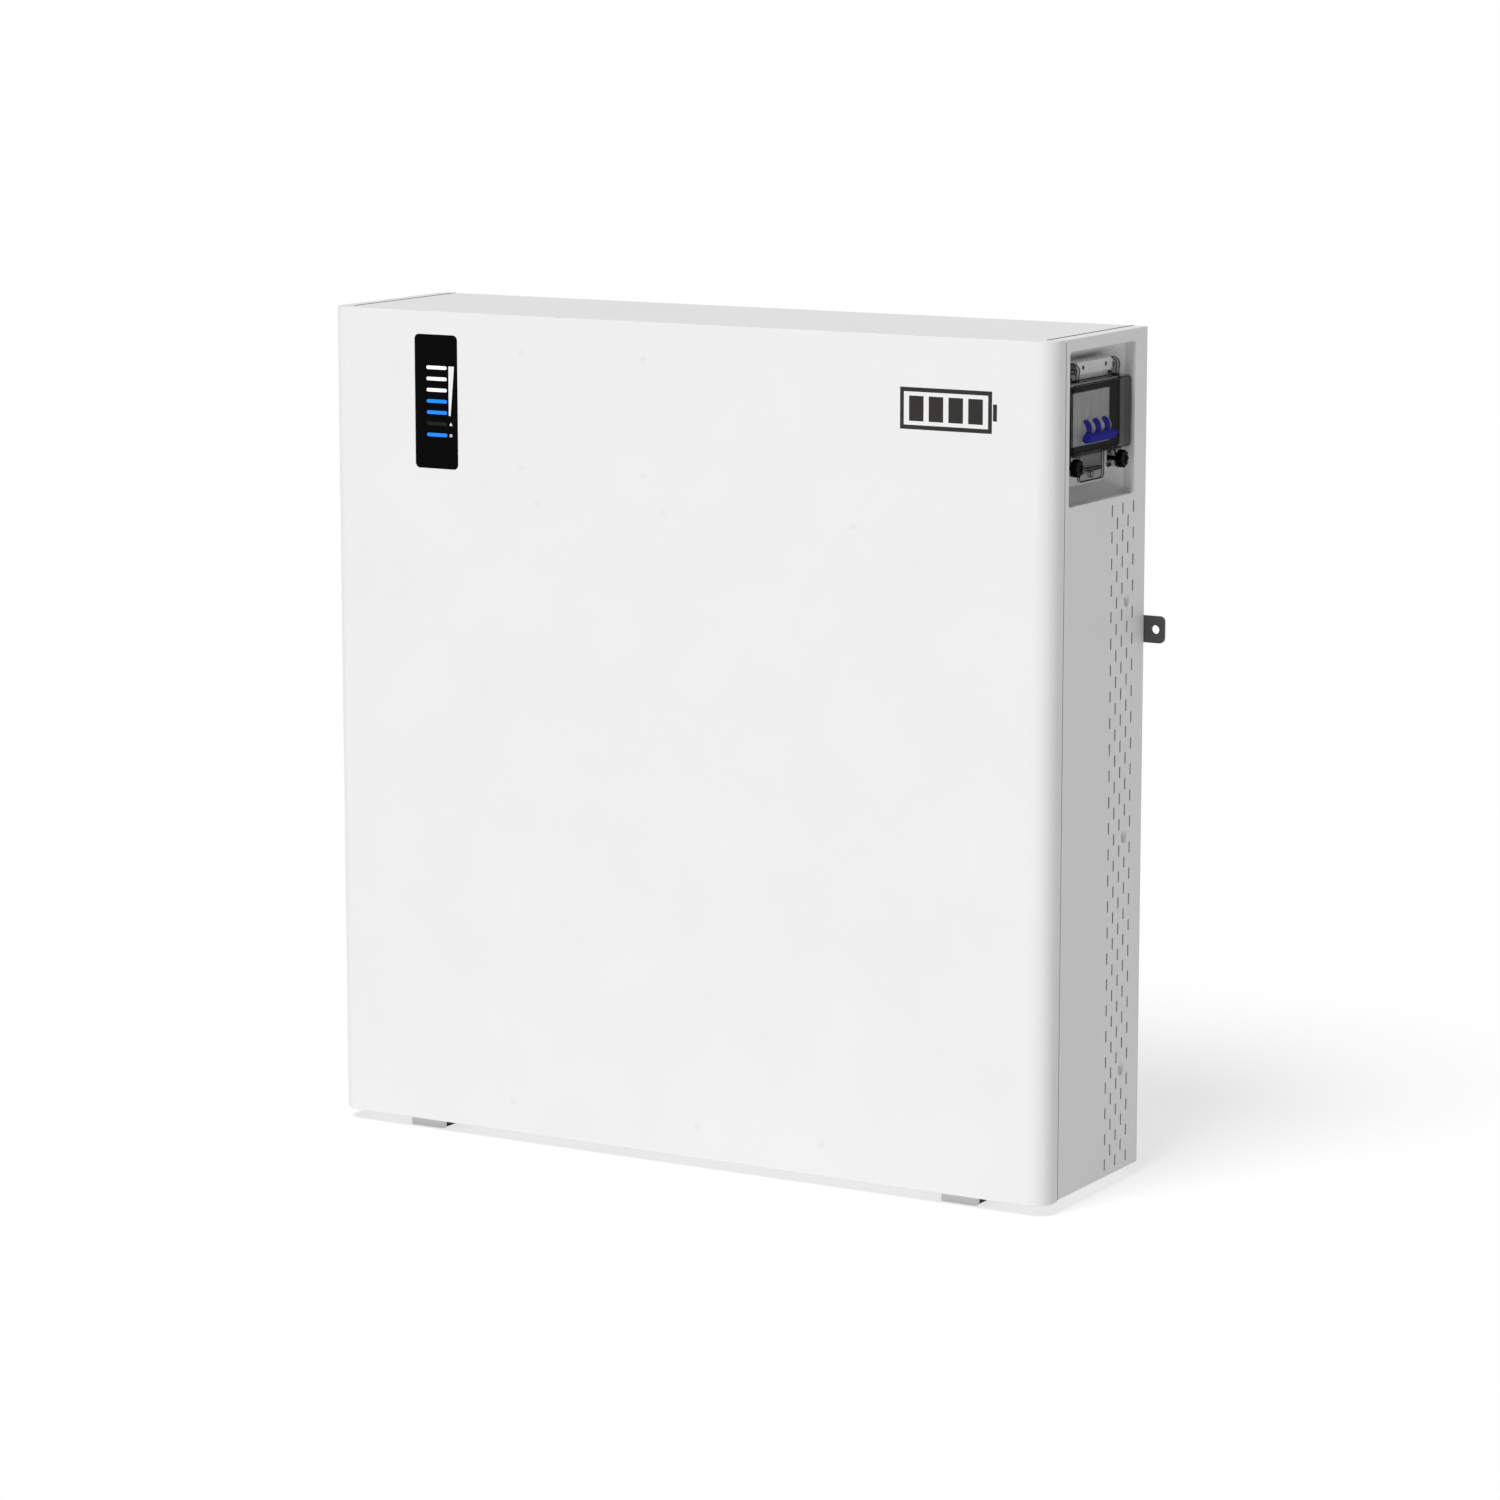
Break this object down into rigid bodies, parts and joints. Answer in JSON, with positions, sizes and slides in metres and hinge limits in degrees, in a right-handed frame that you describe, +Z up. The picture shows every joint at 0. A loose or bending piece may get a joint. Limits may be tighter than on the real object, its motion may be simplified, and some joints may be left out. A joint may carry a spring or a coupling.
{
  "type": "wall battery unit",
  "caption": "Flat white sheet-metal wall battery with level display, hinged smoked window over a breaker, side louvres, connection pocket, wall ears and feet.",
  "frame": {"origin": "centre of the unit's outline on the floor, under the middle of its depth", "axes": "+Z up, +Y from the front face towards the wall, +X to the right seen from the front"},
  "size_m": [0.754, 0.183, 0.7402],
  "materials": {
    "powder_coat": "fine powder coat, satin",
    "zinc": "zinc plated",
    "grey_plastic": "moulded, fine texture",
    "seal_rubber": "matt",
    "bright_steel": "ground",
    "smoked_window": "polished, smoked",
    "black_plastic": "moulded, satin",
    "breaker_plastic": "moulded",
    "blue_plastic": "moulded",
    "display_black": "polished",
    "white_lamp": "diffusing",
    "blue_lamp": "diffusing",
    "dark_lamp": "diffusing, unlit",
    "grey_print": "printed",
    "dark_print": "printed",
    "clear_plastic": "polished",
    "circuit_board": "solder mask",
    "aluminium": "mill finish",
    "cell_film": "insulating film",
    "insulation": "sheet",
    "copper": "bare copper",
    "brass": "machined",
    "galvanised": "galvanised",
    "ceramic": "unglazed ceramic",
    "insulator_red": "moulded resin",
    "orange_plastic": "moulded",
    "button_grey": "moulded",
    "dark_steel": "dark grey coat"
  },
  "bodies": {
    "cabinet": {"front_cover": "powder_coat", "top_plate": "powder_coat", "bottom_plate": "powder_coat", "back_panel": "powder_coat", "side_cover_right": "powder_coat", "side_cover_left": "powder_coat", "inner_frame": "galvanised", "top_screws": "powder_coat", "cabinet_screws": "zinc", "breaker_pocket_tray": "powder_coat", "window_base": "grey_plastic", "window_gasket": "seal_rubber", "hinge_pin": "bright_steel", "breaker_case": "breaker_plastic", "handle_shaft": "bright_steel", "din_rail": "galvanised", "display_panel": "display_black", "charge_bars_white": "white_lamp", "charge_bars_blue": "blue_lamp", "alarm_bar": "dark_lamp", "run_bar": "blue_lamp", "display_marks": "grey_print", "light_guide": "clear_plastic", "display_board": "circuit_board", "battery_sign": "dark_print", "cover_studs": "zinc", "bms_board": "circuit_board", "bms_heatsink": "aluminium", "cells_left": "cell_film", "cells_right": "cell_film", "cell_insulation": "insulation", "module_clamps": "aluminium", "cell_links": "copper", "power_deck": "galvanised", "positive_busbar": "copper", "negative_busbar": "copper", "main_fuse": "ceramic", "current_shunt": "brass", "deck_insulators": "insulator_red", "inner_fasteners": "zinc", "terminal_pocket_tray": "powder_coat", "positive_socket": "orange_plastic", "negative_socket": "black_plastic", "socket_contacts": "brass", "port_block": "black_plastic", "port_caps": "seal_rubber", "button_housing": "black_plastic", "button_spring": "bright_steel", "earth_stud": "brass", "vent_valve": "black_plastic", "foot_plates": "powder_coat", "foot_skids": "seal_rubber", "wall_rail": "dark_steel", "back_bumpers": "seal_rubber", "joint_seals": "seal_rubber"},
    "lid": {"window_lid": "smoked_window"},
    "front_knob": {"knob_front": "black_plastic"},
    "rear_knob": {"knob_rear": "black_plastic"},
    "toggles": {"breaker_handle": "blue_plastic"},
    "button": {"power_button": "button_grey"}
  },
  "joints": [
    {"name": "lid_hinge", "type": "hinge", "parent": "cabinet", "child": "lid", "pos_m": [0.3473, 0, 0.711], "axis": [0, -1, 0], "range_deg": [0, 105]},
    {"name": "front_knob_turn", "type": "hinge", "parent": "lid", "child": "front_knob", "pos_m": [0.3553, -0.04015, 0.6313], "axis": [1, 0, 0], "continuous": true},
    {"name": "rear_knob_turn", "type": "hinge", "parent": "lid", "child": "rear_knob", "pos_m": [0.3553, 0.04545, 0.6313], "axis": [1, 0, 0], "continuous": true},
    {"name": "toggle_throw", "type": "hinge", "parent": "cabinet", "child": "toggles", "pos_m": [0.3417, 0.01215, 0.66], "axis": [0, -1, 0], "range_deg": [0, 68]},
    {"name": "button_press", "type": "slide", "parent": "cabinet", "child": "button", "axis": [1, 0, 0], "range_m": [0, 0.0025], "stiffness_N_per_m": 300, "springref_m": -0.003, "deforming": ["button_spring"]}
  ]
}
